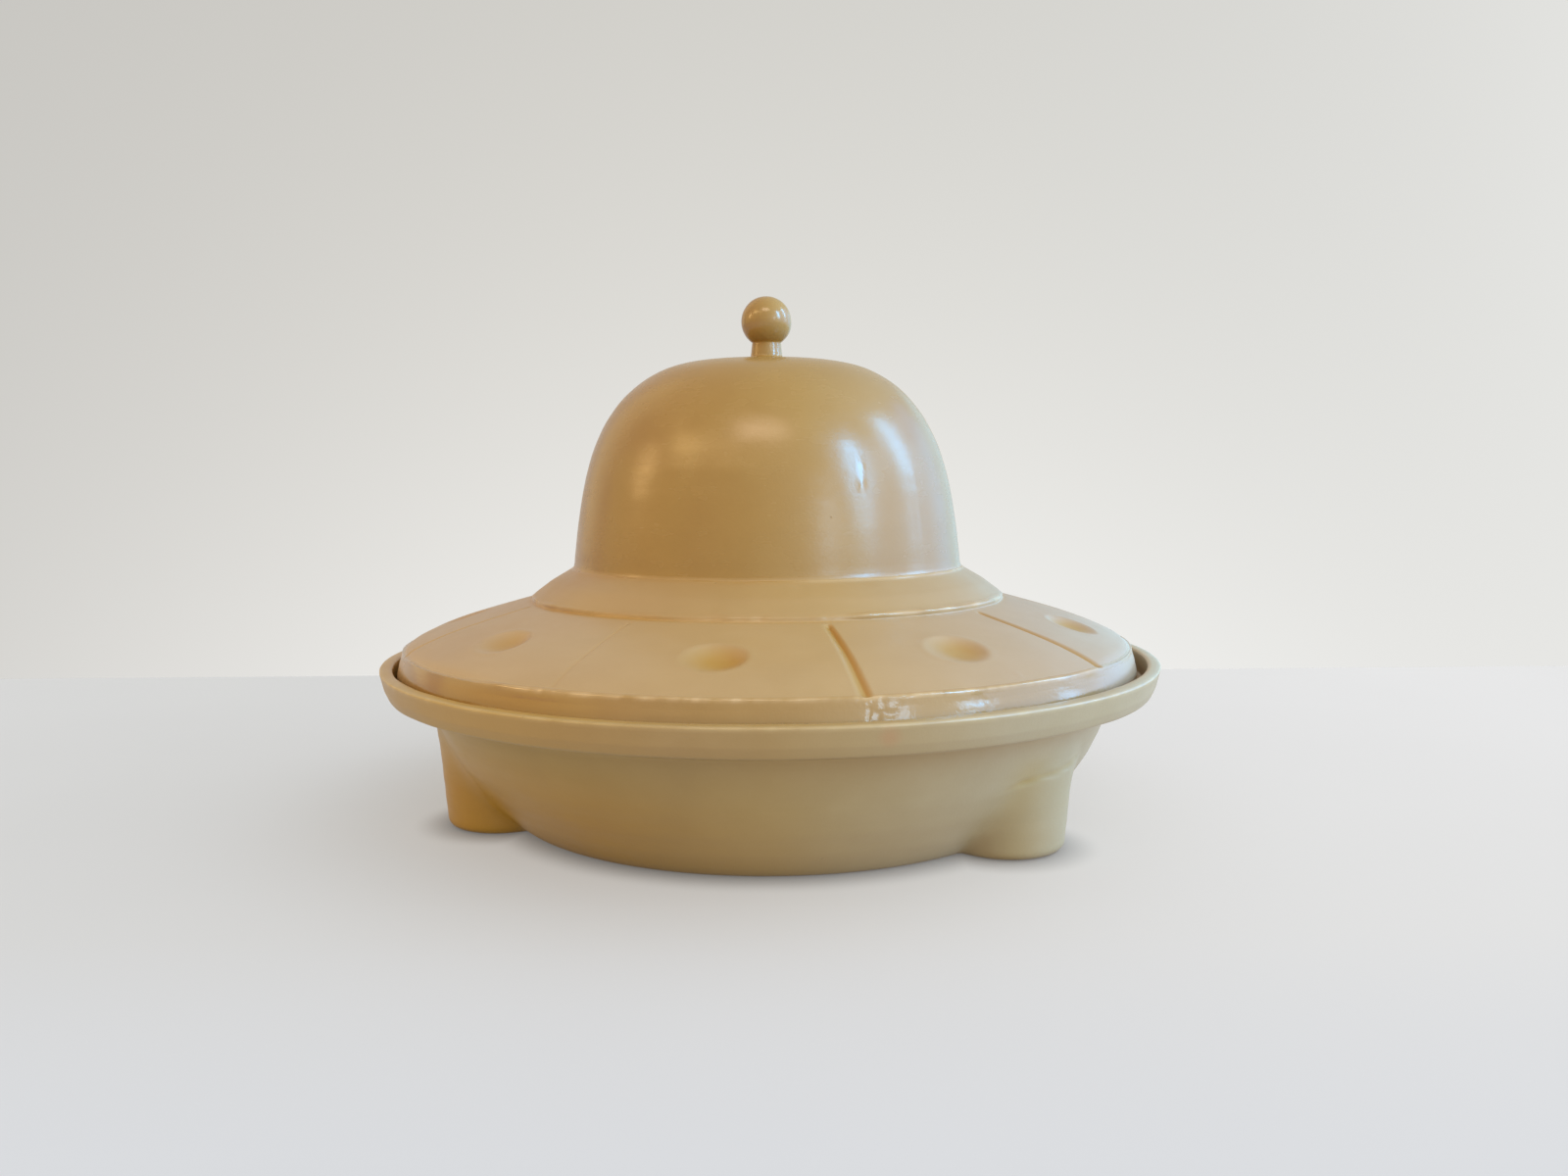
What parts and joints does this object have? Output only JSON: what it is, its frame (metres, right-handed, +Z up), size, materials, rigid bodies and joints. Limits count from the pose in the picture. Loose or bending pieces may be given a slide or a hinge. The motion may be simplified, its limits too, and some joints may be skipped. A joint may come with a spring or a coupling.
{
  "type": "tagine",
  "caption": "Footed clay cooking dish with a lift-off domed lid, a broad panelled brim with thumb dimples, and a ball knob; holds and steams a stew.",
  "frame": {"origin": "on the table, under the centre of the dish", "axes": "+Z up along the axis of the dish and the lid; -Y is the front that the picture shows; +X is to the right seen from the front"},
  "size_m": [0.32, 0.32, 0.2123],
  "materials": {
    "dish_glaze": "tan ochre clay under a thin satin glaze, faint throwing rings, darker in the hollows",
    "lid_glaze": "tan ochre clay under a thin semi-gloss glaze, brighter beads of slip along the joints",
    "knob_glaze": "the lid's glaze, a little thicker and glossier"
  },
  "bodies": {
    "dish": {"dish": "dish_glaze"},
    "lid": {"lid": "lid_glaze", "lid_knob": "knob_glaze"}
  },
  "joints": [
    {"name": "lid_lift", "type": "slide", "parent": "dish", "child": "lid", "axis": [0, 0, 1], "range_m": [0, 0.25]}
  ]
}
